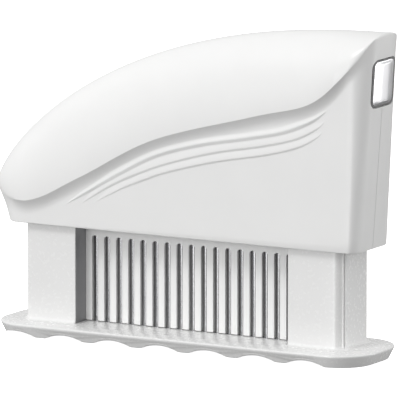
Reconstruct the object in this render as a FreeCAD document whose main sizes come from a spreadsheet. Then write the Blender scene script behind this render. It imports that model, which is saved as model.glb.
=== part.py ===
import FreeCAD, Part
import Sketcher
import math
import os
import re
from FreeCAD import Placement, Rotation, Vector

doc = FreeCAD.newDocument("BladeTenderizer")


# Driving dimensions in millimetres, from the middle of the blade row and the plate's underside
DRIVING = [
    ("plate_length", "143.2", "base plate, left to right"),
    ("plate_depth", "37.0", "base plate, front to rear"),
    ("plate_height", "5.0", "flat top of the base plate"),
    ("plate_corner", "14.0", "corner radius of the base plate in plan"),
    ("plate_draft", "2.2", "how far the plate's sides lean in towards the bottom"),
    ("bevel_width", "4.5", "shallow bevel round the plate's top"),
    ("bevel_drop", "0.65", "fall of that bevel"),
    ("scallop_radius", "17.4", "radius of the hollows across the plate's underside"),
    ("scallop_depth", "1.7", "depth of those hollows"),
    ("scallop_pitch", "18.5", "step from one hollow to the next"),
    ("scallop_count", "7", "hollows across the underside"),
    ("scallop_offset", "-5.0", "middle of the row of hollows"),
    ("column_centre", "50.7", "middle of each column, from the middle of the tool"),
    ("column_width", "19.7", "column, left to right"),
    ("column_depth", "20.9", "column, front to rear"),
    ("column_corner", "2.75", "radius of the column's outer corners"),
    ("column_top", "40.2", "top of the columns, inside the handle"),
    ("column_wall", "2.3", "wall of the hollow columns"),
    ("column_rib", "0.8", "raised flat on the column's outer end"),
    ("column_rib_width", "14.4", "width of that flat"),
    ("web_floor", "28.0", "underside of the web inside each column"),
    ("web_thickness", "3.0", "thickness of that web"),
    ("pocket_bore", "11.0", "bore above the web that holds the spring"),
    ("blade_count", "17", "blades in the row"),
    ("blade_pitch", "4.67", "step from one blade to the next"),
    ("blade_width", "2.0", "blade, left to right"),
    ("blade_depth", "4.8", "blade, front to rear"),
    ("blade_round", "0.6", "rounding of the blade's long edges"),
    ("blade_point", "2.0", "height of the slanting cutting edge"),
    ("blade_land", "0.15", "width of the point that the grinding leaves"),
    ("blade_tip", "4.8", "height of the blade's points at rest"),
    ("blade_gap", "0.15", "clearance round each blade"),
    ("guide_depth", "6.2", "blade guide, front to rear"),
    ("guide_gap", "0.3", "gap under the guide's teeth"),
    ("window_top", "34.4", "top of the rounded windows in the guide"),
    ("lug_height", "1.7", "lugs that hang the guide in the columns"),
    ("lug_reach", "2.0", "reach of those lugs into the columns"),
    ("strip_thickness", "0.8", "steel guide strip on a column's inner face"),
    ("strip_margin", "0.35", "plastic border in front of the strip"),
    ("lip_height", "38.2", "lower edge of the handle"),
    ("nose_foot", "66.9", "reach of the lower edge to the left"),
    ("nose_reach", "74.6", "reach of the rounded nose to the left"),
    ("nose_height", "49.6", "height of the nose's tip"),
    ("nose_round", "14.0", "length of the nose's rounding in plan"),
    ("nose_blunt", "0.5", "how much of that rounding the blunt tip cuts off"),
    ("heel_foot", "67.2", "reach of the lower edge to the right"),
    ("heel_reach", "72.4", "reach of the handle's top to the right"),
    ("crown_height", "111.2", "top of the handle at its right end"),
    ("crown_power", "0.66", "fullness of the curve along the handle's back"),
    ("crown_bend", "2.25", "how late that curve bends down towards the nose"),
    ("grip_half", "12.75", "half of the handle's thickness at its lower edge"),
    ("foot_corner", "5.0", "radius of the handle's upright corners at their foot"),
    ("crown_corner", "7.5", "radius of the right corners where they reach the swell"),
    ("fold_overhang", "2.25", "how far the palm swell overhangs the wall"),
    ("fold_cove", "5.0", "height of the hollow under the swell"),
    ("fold_tip_x", "-74.4", "edge of the swell at the nose"),
    ("fold_tip_z", "49.6", "its height"),
    ("fold_dip_x", "-57.0", "lowest place of that edge"),
    ("fold_dip_z", "46.5", "its height"),
    ("fold_rise_x", "-36.0", "edge of the swell where it climbs"),
    ("fold_rise_z", "56.3", "its height"),
    ("fold_mid_x", "-8.0", "edge of the swell near the middle"),
    ("fold_mid_z", "71.0", "its height"),
    ("fold_long_x", "30.0", "edge of the swell on its long run"),
    ("fold_long_z", "81.8", "its height"),
    ("fold_turn_x", "52.0", "edge of the swell where it turns up"),
    ("fold_turn_z", "88.0", "its height"),
    ("fold_heel_x", "66.0", "edge of the swell at the right corner"),
    ("fold_heel_z", "100.5", "its height"),
    ("fold_end_x", "72.2", "end of that edge on the end face"),
    ("fold_end_z", "110.0", "its height"),
    ("shell_wall", "2.0", "wall of the two handle shells"),
    ("heel_wall", "3.4", "thicker wall behind the badge"),
    ("badge_width", "15.2", "badge, front to rear"),
    ("badge_height", "15.8", "badge, bottom to top"),
    ("badge_corner", "2.5", "corner radius of the badge"),
    ("badge_drop", "16.7", "middle of the badge, down from the handle's top"),
    ("badge_sink", "1.4", "depth of the badge's recess"),
    ("badge_thickness", "1.2", "thickness of the badge"),
    ("badge_gap", "0.3", "gap round the badge"),
    ("carrier_length", "80.0", "bars that hold the blades"),
    ("carrier_depth", "6.0", "depth of each bar"),
    ("carrier_floor", "61.0", "underside of the bars"),
    ("carrier_height", "11.0", "height of the bars"),
    ("carrier_roof_wall", "1.0", "bar left over the blades' upper ends"),
    ("blade_pin", "1.6", "diameter of the long pin through the blades"),
    ("close_fit", "0.05", "clearance round pins and shanks, all round"),
    ("rivet_shank", "2.2", "shank of the carrier rivets"),
    ("rivet_head", "4.4", "head of the carrier rivets"),
    ("rivet_head_height", "1.0", "height of that head"),
    ("rib_width", "2.4", "ribs in the shells"),
    ("rib_pitch", "24.0", "step from one carrier rib to the next"),
    ("rib_lap", "2.0", "lap of the ribs over what they hold"),
    ("rib_spread", "4.0", "height of the ribs over and under the carrier"),
    ("seat_floor", "64.0", "underside of the spring seats"),
    ("seat_thickness", "3.5", "thickness of the spring seats"),
    ("seat_length", "11.0", "spring seat, left to right"),
    ("seat_depth", "14.0", "spring seat, front to rear"),
    ("seat_corner", "1.5", "corner radius of the spring seats"),
    ("seat_rib_rise", "6.0", "height of the ribs over the spring seats"),
    ("stem_diameter", "4.0", "shank of the guide screws"),
    ("stem_clearance", "0.4", "clearance of the guide screws in the webs"),
    ("stem_head", "9.0", "head of the guide screws"),
    ("stem_head_height", "3.0", "height of that head"),
    ("stem_socket", "3.0", "hexagon socket in that head, across the flats"),
    ("socket_depth", "1.8", "depth of that socket"),
    ("washer_thickness", "1.2", "stop washers on those heads"),
    ("washer_gap", "0.3", "gap between washer and web at rest"),
    ("nut_width", "7.0", "guide screw nuts across the flats"),
    ("nut_height", "2.4", "height of those nuts"),
    ("spring_wire", "1.0", "wire of the return springs"),
    ("spring_radius", "4.0", "mean radius of the return springs"),
    ("spring_turns", "8", "turns of the return springs"),
    ("screw_shank", "2.8", "shank of the shell screws"),
    ("screw_room", "0.2", "clearance of that shank in the rear shell, all round"),
    ("screw_head", "5.4", "head of the shell screws"),
    ("screw_head_height", "2.0", "height of that head"),
    ("screw_head_room", "0.3", "clearance round that head"),
    ("screw_boss", "8.4", "bosses round the shell screws"),
    ("screw_seat", "7.4", "seat of the heads, from the joint of the shells"),
    ("screw_grip", "6.0", "reach of the shank into the front shell"),
    ("screw_end_room", "0.5", "space past the end of the shank"),
    ("screw_nose_x", "-30.0", "shell screw nearest the nose"),
    ("screw_nose_z", "79.0", "its height"),
    ("screw_mid_x", "0.0", "shell screw at the middle"),
    ("screw_mid_z", "90.0", "its height"),
    ("screw_long_x", "32.0", "shell screw on the long run"),
    ("screw_long_z", "98.0", "its height"),
    ("screw_heel_x", "60.0", "shell screw near the right end"),
    ("screw_heel_z", "80.0", "its height"),
]

sizes = doc.addObject("Spreadsheet::Sheet", "Sizes")
for row, (alias, number, note) in enumerate(DRIVING, start=1):
    sizes.set(f"A{row}", note)
    sizes.set(f"B{row}", number)
    sizes.setAlias(f"B{row}", alias)
doc.recompute()


# Places that follow from the driving dimensions
DERIVED = [
    ("datum_x", "(nose_reach - heel_reach) / 2"),
    ("edge_height", "plate_height - bevel_drop"),
    ("column_inner", "column_centre - column_width / 2"),
    ("column_outer", "column_centre + column_width / 2"),
    ("column_root", "edge_height / 2"),
    ("window_width", "blade_width + 2 * blade_gap"),
    ("row_start", "-(blade_count - 1) * blade_pitch / 2"),
    ("scallop_start", "scallop_offset - (scallop_count - 1) * scallop_pitch / 2"),
    ("web_roof", "web_floor + web_thickness"),
    ("lug_floor", "column_top - lug_height"),
    ("carrier_roof", "carrier_floor + carrier_height"),
    ("pin_level", "carrier_floor + carrier_height / 2"),
    ("blade_roof", "carrier_roof - carrier_roof_wall"),
    ("seat_roof", "seat_floor + seat_thickness"),
    ("washer_floor", "web_floor - washer_gap - washer_thickness"),
    ("head_floor", "washer_floor - stem_head_height"),
    ("heel_lean", "(heel_reach - heel_foot) / (crown_height - lip_height)"),
    ("badge_level", "crown_height - badge_drop"),
    ("badge_face_x", "heel_foot + heel_lean * (badge_level - lip_height)"),
]

places = doc.addObject("Spreadsheet::Sheet", "Places")
driving_names = {alias for alias, number, note in DRIVING}
derived_names = {alias for alias, formula in DERIVED}
PLAIN_WORD = re.compile(r"\b[a-z]+(?:_[a-z]+)+\b")


def cells(formula, own_sheet=""):
    """A formula in the sheets' words, with each word led back to its sheet."""
    def lead(match):
        word = match.group(0)
        if word in driving_names:
            return "Sizes." + word
        if word in derived_names:
            return own_sheet + word
        raise ValueError(f"no size is called {word}")
    return PLAIN_WORD.sub(lead, formula)


for row, (alias, formula) in enumerate(DERIVED, start=1):
    places.set(f"A{row}", "=" + cells(formula))
    places.setAlias(f"A{row}", alias)
    doc.recompute()


def size(name):
    """The number in a cell, for the shapes that are worked out in code."""
    sheet = sizes if name in driving_names else places
    return float(sheet.get(name))


def bind(item, formulas):
    for path, formula in formulas.items():
        item.setExpression(path, cells(formula, "Places."))


def put(item, start):
    bind(item, {f"Placement.Base.{axis}": formula for axis, formula in zip("xyz", start)})


# Plain solids whose sizes and places are formulas of the sheets
ALONG = {"y": Rotation(Vector(1, 0, 0), -90), "x": Rotation(Vector(0, 1, 0), 90), "z": Rotation()}


def block(name, low, span):
    item = doc.addObject("Part::Box", name)
    bind(item, dict(zip(("Length", "Width", "Height"), span)))
    put(item, low)
    return item


def rod(name, start, radius, length, along="z"):
    item = doc.addObject("Part::Cylinder", name)
    item.Placement = Placement(Vector(), ALONG[along])
    bind(item, {"Radius": radius, "Height": length})
    put(item, start)
    return item


def hexagon(name, start, across_flats, length):
    item = doc.addObject("Part::Prism", name)
    item.Polygon = 6
    bind(item, {"Circumradius": f"{across_flats} / sqrt(3)", "Height": length})
    put(item, start)
    return item


def fuse(name, items):
    item = doc.addObject("Part::MultiFuse", name)
    item.Shapes = items
    return item


def common(name, items):
    item = doc.addObject("Part::MultiCommon", name)
    item.Shapes = items
    return item


def cut(name, base, tool):
    item = doc.addObject("Part::Cut", name)
    item.Base = base
    item.Tool = tool
    return item


# Sketched solids: a rounded rectangle about its own middle, padded square to its plane
def new_sketch(body, name, role, offset):
    sketch = body.newObject("Sketcher::SketchObject", name)
    plane = next(part for part in body.Origin.OriginFeatures if part.Role == role)
    sketch.AttachmentSupport = (plane, [""])
    sketch.MapMode = "FlatFace"
    for axis, formula in zip("xyz", offset):
        bind(sketch, {f"AttachmentOffset.Base.{axis}": formula})
    return sketch


def measure(sketch, name, formula, kind, *values):
    index = sketch.addConstraint(Sketcher.Constraint(kind, *values))
    sketch.renameConstraint(index, name)
    bind(sketch, {f"Constraints.{name}": formula})


def draw_rounded_rectangle(sketch, length, depth, radius):
    a, b, r = 10.0, 8.0, 2.0
    quarter = math.pi / 2
    corners = [(a - r, r - b), (a - r, b - r), (r - a, b - r), (r - a, r - b)]
    sides = [
        ((r - a, -b), (a - r, -b)),
        ((a, r - b), (a, b - r)),
        ((a - r, b), (r - a, b)),
        ((-a, b - r), (-a, r - b)),
    ]
    for turn, (corner, side) in enumerate(zip(corners, sides)):
        first, last = side
        sketch.addGeometry(Part.LineSegment(Vector(*first, 0), Vector(*last, 0)))
        circle = Part.Circle(Vector(*corner, 0), Vector(0, 0, 1), r)
        start = (turn - 1) * quarter
        sketch.addGeometry(Part.ArcOfCircle(circle, start, start + quarter))
    for edge in range(8):
        sketch.addConstraint(Sketcher.Constraint("Tangent", edge, 2, (edge + 1) % 8, 1))
    for edge in range(0, 8, 4):
        sketch.addConstraint(Sketcher.Constraint("Horizontal", edge))
        sketch.addConstraint(Sketcher.Constraint("Vertical", edge + 2))
    for arc in range(3, 8, 2):
        sketch.addConstraint(Sketcher.Constraint("Equal", 1, arc))
    sketch.addConstraint(Sketcher.Constraint("Symmetric", 1, 3, 5, 3, -1, 1))
    measure(sketch, "corner", radius, "Radius", 1, r)
    measure(sketch, "length", length, "DistanceX", 6, 1, 2, 1, 2 * a)
    measure(sketch, "depth", depth, "DistanceY", 0, 1, 4, 1, 2 * b)


def slab(name, middle, length, depth, height, radius, role="XY_Plane", lean=None):
    body = doc.addObject("PartDesign::Body", name)
    sketch = new_sketch(body, name + "_outline", role, middle)
    if lean:
        sketch.AttachmentOffset = Placement(Vector(), Rotation(Vector(1, 0, 0), 1))
        bind(sketch, {"AttachmentOffset.Rotation.Angle": lean})
        for axis, formula in zip("xyz", middle):
            bind(sketch, {f"AttachmentOffset.Base.{axis}": formula})
    draw_rounded_rectangle(sketch, length, depth, radius)
    pad = body.newObject("PartDesign::Pad", name + "_pad")
    pad.Profile = sketch
    bind(pad, {"Length": height})
    return body


nodes = {}


def sub_part(label, item):
    """Names a finished piece and sets it about the middle of the whole tool."""
    item.Label = label
    own_places = {path.lstrip("."): formula for path, formula in item.ExpressionEngine}
    own_x = own_places.get("Placement.Base.x", "0")
    item.setExpression("Placement.Base.x", f"{own_x} + Places.datum_x")
    nodes[label] = item


SIDES = (("left", -1), ("right", 1))


def blade_x(blade):
    return f"row_start + {blade} * blade_pitch"


def outward(side, start, width):
    """Low corner of something that runs outwards for a width from its start."""
    return start if side > 0 else f"-({start}) - ({width})"


# Guard: one white moulding, a base plate with two hollow columns
plate = doc.addObject("PartDesign::Body", "plate")
tiers = []
for tier, level, inset in (
    ("foot", "0", "plate_draft"),
    ("edge", "edge_height", "0"),
    ("top", "plate_height", "bevel_width"),
):
    outline = new_sketch(plate, "plate_" + tier, "XY_Plane", ("0", "0", level))
    draw_rounded_rectangle(
        outline,
        f"plate_length - 2 * {inset}",
        f"plate_depth - 2 * {inset}",
        f"plate_corner - {inset}",
    )
    tiers.append(outline)
plate_loft = plate.newObject("PartDesign::AdditiveLoft", "plate_loft")
plate_loft.Profile = tiers[0]
plate_loft.Sections = tiers[1:]
plate_loft.Ruled = True

guard_solids = [plate]
guard_hollows = []
for word, side in SIDES:
    middle = f"{side} * column_centre"
    guard_solids.append(slab(
        f"{word}_column", (middle, "0", "column_root"),
        "column_width", "column_depth", "column_top - column_root", "column_corner",
    ))
    guard_solids.append(block(
        f"{word}_column_inner_half",
        (outward(side, "column_inner", "column_width / 2"), "-column_depth / 2", "column_root"),
        ("column_width / 2", "column_depth", "column_top - column_root"),
    ))
    rib_span = "column_corner + column_rib"
    guard_solids.append(block(
        f"{word}_column_rib",
        (outward(side, "column_outer - column_corner", rib_span), "-column_rib_width / 2",
         "column_root"),
        (rib_span, "column_rib_width", "column_top - column_root"),
    ))
    guard_hollows.append(slab(
        f"{word}_column_hollow", (middle, "0", "-plate_height"),
        "column_width - 2 * column_wall", "column_depth - 2 * column_wall",
        "plate_height + web_floor", "column_corner / 2",
    ))
    guard_hollows.append(rod(
        f"{word}_spring_pocket", (middle, "0", "web_roof"),
        "pocket_bore / 2", "column_top",
    ))
    guard_hollows.append(rod(
        f"{word}_web_bore", (middle, "0", "web_floor - web_thickness"),
        "stem_diameter / 2 + stem_clearance", "3 * web_thickness",
    ))
    guard_hollows.append(block(
        f"{word}_strip_recess",
        (outward(side, "column_inner", "strip_thickness"),
         "strip_margin - column_depth / 2", "plate_height"),
        ("strip_thickness", "column_depth - 2 * strip_margin", "lug_floor - plate_height"),
    ))
    guard_hollows.append(block(
        f"{word}_lug_slot",
        (outward(side, "column_inner", "lug_reach"), "-guide_depth / 2", "lug_floor"),
        ("lug_reach", "guide_depth", "2 * lug_height"),
    ))

# Shallow hollows run from front to rear under the plate
for step in range(int(size("scallop_count"))):
    guard_hollows.append(rod(
        f"scallop_{step + 1}",
        (f"scallop_start + {step} * scallop_pitch", "-plate_depth",
         "scallop_depth - scallop_radius"),
        "scallop_radius", "2 * plate_depth", "y",
    ))

# One slot through the plate for each blade
blade_total = int(size("blade_count"))
for blade in range(blade_total):
    guard_hollows.append(block(
        f"plate_slot_{blade + 1}",
        (f"{blade_x(blade)} - window_width / 2", "-blade_depth / 2 - blade_gap", "-plate_height"),
        ("window_width", "blade_depth + 2 * blade_gap", "3 * plate_height"),
    ))
sub_part("guard_frame", cut(
    "guard_frame", fuse("guard_solids", guard_solids), fuse("guard_hollows", guard_hollows),
))

# Polished steel strips line the columns' inner faces, where the handle's load rubs
for word, side in SIDES:
    sub_part(f"{word}_guide_strip", block(
        f"{word}_guide_strip",
        (outward(side, "column_inner", "strip_thickness"),
         "strip_margin - column_depth / 2", "plate_height"),
        ("strip_thickness", "column_depth - 2 * strip_margin", "lug_floor - plate_height"),
    ))

# Blade guide: a white comb whose lugs hang in the columns, open below each window
comb = fuse("comb", [
    block(
        "comb_panel", ("-column_inner", "-guide_depth / 2", "plate_height + guide_gap"),
        ("2 * column_inner", "guide_depth", "column_top - plate_height - guide_gap"),
    ),
    block(
        "comb_lugs", ("-column_inner - lug_reach", "-guide_depth / 2", "lug_floor"),
        ("2 * column_inner + 2 * lug_reach", "guide_depth", "lug_height"),
    ),
])
comb_hollows = []
for blade in range(blade_total):
    low_x = f"{blade_x(blade)} - window_width / 2"
    comb_hollows.append(block(
        f"window_{blade + 1}", (low_x, "-guide_depth", "0"),
        ("window_width", "2 * guide_depth", "window_top - window_width / 2"),
    ))
    comb_hollows.append(rod(
        f"window_arch_{blade + 1}",
        (blade_x(blade), "-guide_depth", "window_top - window_width / 2"),
        "window_width / 2", "2 * guide_depth", "y",
    ))
    comb_hollows.append(block(
        f"channel_{blade + 1}", (low_x, "-blade_depth / 2 - blade_gap", "0"),
        ("window_width", "blade_depth + 2 * blade_gap", "2 * column_top"),
    ))
sub_part("blade_guide", cut("blade_guide", comb, fuse("comb_hollows", comb_hollows)))

# Blades: one steel strip each, rounded on its long edges, ground to a slanting point
for blade in range(blade_total):
    number = f"{blade + 1:02d}"
    strip = slab(
        f"blade_{number}_strip", (blade_x(blade), "0", "blade_tip"),
        "blade_width", "blade_depth", "blade_roof - blade_tip", "blade_round",
    )
    grinding = doc.addObject("Part::Wedge", f"blade_{number}_grinding")
    grinding.Placement = Placement(Vector(), Rotation(Vector(1, 0, 0), 90))
    bind(grinding, {
        "Xmin": "blade_land - blade_width / 2",
        "Xmax": "blade_width",
        "X2min": "blade_width / 2",
        "X2max": "blade_width",
        "Ymin": "0",
        "Ymax": "blade_point",
        "Zmin": "-blade_depth",
        "Zmax": "blade_depth",
        "Z2min": "-blade_depth",
        "Z2max": "blade_depth",
    })
    put(grinding, (blade_x(blade), "0", "blade_tip"))
    pin_hole = rod(
        f"blade_{number}_hole", (f"{blade_x(blade)} - blade_width", "0", "pin_level"),
        "blade_pin / 2 + close_fit", "2 * blade_width", "x",
    )
    waste = fuse(f"blade_{number}_waste", [grinding, pin_hole])
    sub_part(f"blade_{number}", cut(f"blade_{number}", strip, waste))

# Carrier: two bars with a slot for each blade, pinned through the blades and riveted together
sub_part("blade_pin", rod(
    "long_pin", ("-carrier_length / 2", "0", "pin_level"),
    "blade_pin / 2", "carrier_length", "x",
))
# The rivets pass between blades, so their steps are half-way places in the row
RIVET_STEPS = (-6.5, -2.5, 2.5, 6.5)
carrier_hollows = [rod(
    "pin_groove", ("-carrier_length", "0", "pin_level"),
    "blade_pin / 2 + close_fit", "2 * carrier_length", "x",
)]
for blade in range(blade_total):
    carrier_hollows.append(block(
        f"blade_seat_{blade + 1}",
        (f"{blade_x(blade)} - blade_width / 2", "-blade_depth / 2", "lip_height"),
        ("blade_width", "blade_depth", "blade_roof - lip_height"),
    ))
rivets = []
for number, step in enumerate(RIVET_STEPS, start=1):
    spot = f"{step} * blade_pitch"
    carrier_hollows.append(rod(
        f"rivet_bore_{number}", (spot, "-2 * carrier_depth", "pin_level - rivet_head"),
        "rivet_shank / 2 + close_fit", "4 * carrier_depth", "y",
    ))
    rivets.append(rod(
        f"rivet_shank_{number}", (spot, "-carrier_depth", "pin_level - rivet_head"),
        "rivet_shank / 2", "2 * carrier_depth", "y",
    ))
    for word, start in (("front", "-carrier_depth - rivet_head_height"), ("rear", "carrier_depth")):
        rivets.append(rod(
            f"rivet_{word}_{number}", (spot, start, "pin_level - rivet_head"),
            "rivet_head / 2", "rivet_head_height", "y",
        ))
sub_part("carrier_rivets", fuse("carrier_rivets", rivets))
carrier_tool = fuse("carrier_hollows", carrier_hollows)
for word, low_y in (("front", "-carrier_depth"), ("rear", "0")):
    bar = block(
        f"carrier_bar_{word}", ("-carrier_length / 2", low_y, "carrier_floor"),
        ("carrier_length", "carrier_depth", "carrier_height"),
    )
    sub_part(f"carrier_{word}", cut(f"carrier_{word}", bar, carrier_tool))

# Return springs and the screws that guide the handle on the columns
nuts = []
for word, side in SIDES:
    middle = f"{side} * column_centre"
    seat = slab(
        f"{word}_seat_plate", (middle, "0", "seat_floor"),
        "seat_length", "seat_depth", "seat_thickness", "seat_corner",
    )
    seat_bore = rod(
        f"{word}_seat_bore", (middle, "0", "seat_floor - seat_thickness"),
        "stem_diameter / 2 + close_fit", "3 * seat_thickness",
    )
    sub_part(f"{word}_spring_seat", cut(f"{word}_spring_seat", seat, seat_bore))

    nut_blank = hexagon(f"{word}_nut_blank", (middle, "0", "seat_roof"), "nut_width", "nut_height")
    nut_bore = rod(
        f"{word}_nut_bore", (middle, "0", "seat_roof - nut_height"),
        "stem_diameter / 2 + close_fit", "3 * nut_height",
    )
    nuts.append(cut(f"{word}_nut", nut_blank, nut_bore))

    stem = rod(
        f"{word}_stem", (middle, "0", "washer_floor"),
        "stem_diameter / 2", "seat_roof + nut_height - washer_floor",
    )
    head = rod(
        f"{word}_stem_head", (middle, "0", "head_floor"), "stem_head / 2", "stem_head_height",
    )
    socket = hexagon(
        f"{word}_stem_socket", (middle, "0", "head_floor - socket_depth"),
        "stem_socket", "2 * socket_depth",
    )
    screw = fuse(f"{word}_screw_blank", [stem, head])
    sub_part(f"{word}_guide_screw", cut(f"{word}_guide_screw", screw, socket))

    ring = rod(
        f"{word}_washer_disc", (middle, "0", "washer_floor"), "stem_head / 2", "washer_thickness",
    )
    ring_bore = rod(
        f"{word}_washer_bore", (middle, "0", "washer_floor - washer_thickness"),
        "stem_diameter / 2 + close_fit", "3 * washer_thickness",
    )
    sub_part(f"{word}_stop_washer", cut(f"{word}_stop_washer", ring, ring_bore))

    spring = doc.addObject("PartDesign::Body", f"{word}_spring_coil")
    wire = new_sketch(
        spring, f"{word}_spring_wire", "XZ_Plane",
        (middle, "web_roof + spring_wire / 2", "0"),
    )
    swing, gauge = size("spring_radius"), size("spring_wire") / 2
    wire.addGeometry(Part.Circle(Vector(swing, 0, 0), Vector(0, 0, 1), gauge))
    wire.addConstraint(Sketcher.Constraint("PointOnObject", 0, 3, -1))
    measure(wire, "gauge", "spring_wire / 2", "Radius", 0, gauge)
    measure(wire, "swing", "spring_radius", "DistanceX", -1, 1, 0, 3, swing)
    coil = spring.newObject("PartDesign::AdditiveHelix", f"{word}_spring_helix")
    coil.Profile = wire
    coil.ReferenceAxis = (wire, ["V_Axis"])
    coil.Mode = 2
    bind(coil, {
        "Height": "seat_floor - web_roof - spring_wire",
        "Turns": "spring_turns",
    })
    sub_part(f"{word}_spring", spring)
sub_part("guide_nuts", fuse("guide_nuts", nuts))


# Handle skin: sections across the handle, each in its own plane, lofted from nose to heel
def crest(x):
    """Height of the handle's back at a place along it."""
    whole_run = size("heel_reach") + size("nose_reach") + size("nose_blunt")
    reach = max(0.0, size("heel_reach") - x) / whole_run
    fullness = max(0.0, 1 - reach ** size("crown_bend")) ** size("crown_power")
    return size("nose_height") + (size("crown_height") - size("nose_height")) * fullness


FOLD_STEPS = ("tip", "dip", "rise", "mid", "long", "turn", "heel", "end")
fold_points = [Vector(size(f"fold_{word}_x"), 0, size(f"fold_{word}_z")) for word in FOLD_STEPS]
fold_curve = Part.BSplineCurve()
fold_curve.interpolate(fold_points)


def fold(x):
    """Height of the palm swell's lower edge, found by halving along its curve."""
    low, high = fold_curve.FirstParameter, fold_curve.LastParameter
    for halving in range(30):
        middle = (low + high) / 2
        if fold_curve.value(middle).x < x:
            low = middle
        else:
            high = middle
    return fold_curve.value(low).z


def bullet(distance, length):
    """Share of the full width at a distance from an end that is rounded over a length."""
    return math.sqrt(1 - (1 - min(max(distance, 0) / length, 1)) ** 2)


def corner(distance, radius):
    """How far an upright corner draws the wall in at a distance from the end."""
    short = radius - min(max(distance, 0), radius)
    return radius - math.sqrt(radius ** 2 - short ** 2)


# A quarter round as a Bezier curve, then the runs and steps of the sections near each end
ROUNDING = 0.5523
NOSE_RUN = 24.0
HEEL_RUN = 12.0
NOSE_STEPS = (size("nose_blunt"), 2.0, 5.0, 9.0, 15.0, 24.0)
HEEL_STEPS = (12.0, 5.5, 3.4, 1.6, 0.4, 0.0)
MIDDLE_STEPS = 9
CAVITY_NOSE = 1.6
CAVITY_FOOT = 2.0
SLOPE_STEP = 0.5


def skin(name, wall, end_wall):
    """The handle's outside, or its cavity where a wall is taken off all round."""
    lip = size("lip_height")
    foot = lip - CAVITY_FOOT * wall
    tip_x = CAVITY_NOSE * wall - size("nose_reach") - size("nose_blunt")
    foot_left = wall - size("nose_foot")
    foot_right = size("heel_foot") - end_wall
    top_right = size("heel_reach") - end_wall
    lean_left = (size("nose_reach") - size("nose_foot")) / (size("nose_height") - lip)
    half = size("grip_half") - wall
    radius = size("foot_corner") - wall
    crown_radius = size("crown_corner") - wall
    crests = [tip_x + step for step in NOSE_STEPS]
    run = top_right - HEEL_RUN - crests[-1]
    crests += [crests[-1] + run * step / (MIDDLE_STEPS + 1) for step in range(1, MIDDLE_STEPS + 1)]
    crests += [top_right - step for step in HEEL_STEPS]
    wires = []
    for crest_x in crests:
        from_nose = crest_x - tip_x
        from_heel = top_right - crest_x
        foot_x = crest_x
        if from_nose < NOSE_RUN:
            foot_x = foot_left + from_nose * (NOSE_RUN - foot_left + tip_x) / NOSE_RUN
        if from_heel < HEEL_RUN:
            foot_x = foot_right - from_heel * (HEEL_RUN + foot_right - top_right) / HEEL_RUN
        slope = (crest(crest_x + SLOPE_STEP) - crest(crest_x - SLOPE_STEP)) / (2 * SLOPE_STEP)
        crest_z = crest(crest_x) - wall * math.sqrt(1 + slope ** 2)
        fold_x = crest_x
        for settling in range(6):
            fold_z = min(fold(fold_x) + wall / 2, crest_z - 1)
            fold_x = foot_x + (crest_x - foot_x) * (fold_z - foot) / (crest_z - foot)
        under_z = fold_z - size("fold_cove")

        end_at_fold = foot_left - lean_left * (fold_z - lip)
        nose_share = bullet(fold_x - end_at_fold, size("nose_round"))
        heel_in = corner(from_heel, crown_radius)
        overhang = size("fold_overhang") * min(from_heel / HEEL_RUN, 1)
        fold_half = (half + overhang) * nose_share - heel_in
        under_share = bullet(fold_x - end_at_fold, (size("nose_round") + radius) / 2)
        under_half = min(half * under_share - heel_in, fold_half)
        foot_half = half - corner(foot_x - foot_left, radius) - corner(from_heel, radius)

        def at(y, z):
            along = (z - foot) / (crest_z - foot)
            return Vector(foot_x + (crest_x - foot_x) * along, y, z)

        rise = crest_z - fold_z
        edges = [Part.LineSegment(at(-foot_half, foot), at(foot_half, foot)).toShape()]
        for hand in (1, -1):
            wall_line = [at(hand * foot_half, foot), at(hand * under_half, under_z)]
            cove = [
                at(hand * under_half, under_z),
                at(hand * under_half, (under_z + 2 * fold_z) / 3),
                at(hand * fold_half, fold_z),
            ]
            swell = [
                at(hand * fold_half, fold_z),
                at(hand * fold_half, fold_z + ROUNDING * rise),
                at(hand * fold_half * ROUNDING, crest_z),
                at(0, crest_z),
            ]
            stretches = [wall_line, cove, swell]
            if hand < 0:
                stretches = [poles[::-1] for poles in stretches[::-1]]
            for poles in stretches:
                curve = Part.BezierCurve()
                curve.setPoles(poles)
                edges.append(curve.toShape())
        wires.append(Part.Wire(edges))
    item = doc.addObject("Part::Feature", name)
    item.Shape = Part.makeLoft(wires, True, True)
    return item


outside = skin("handle_outside", 0.0, 0.0)
cavity = skin("handle_cavity", size("shell_wall"), size("heel_wall"))

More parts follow.
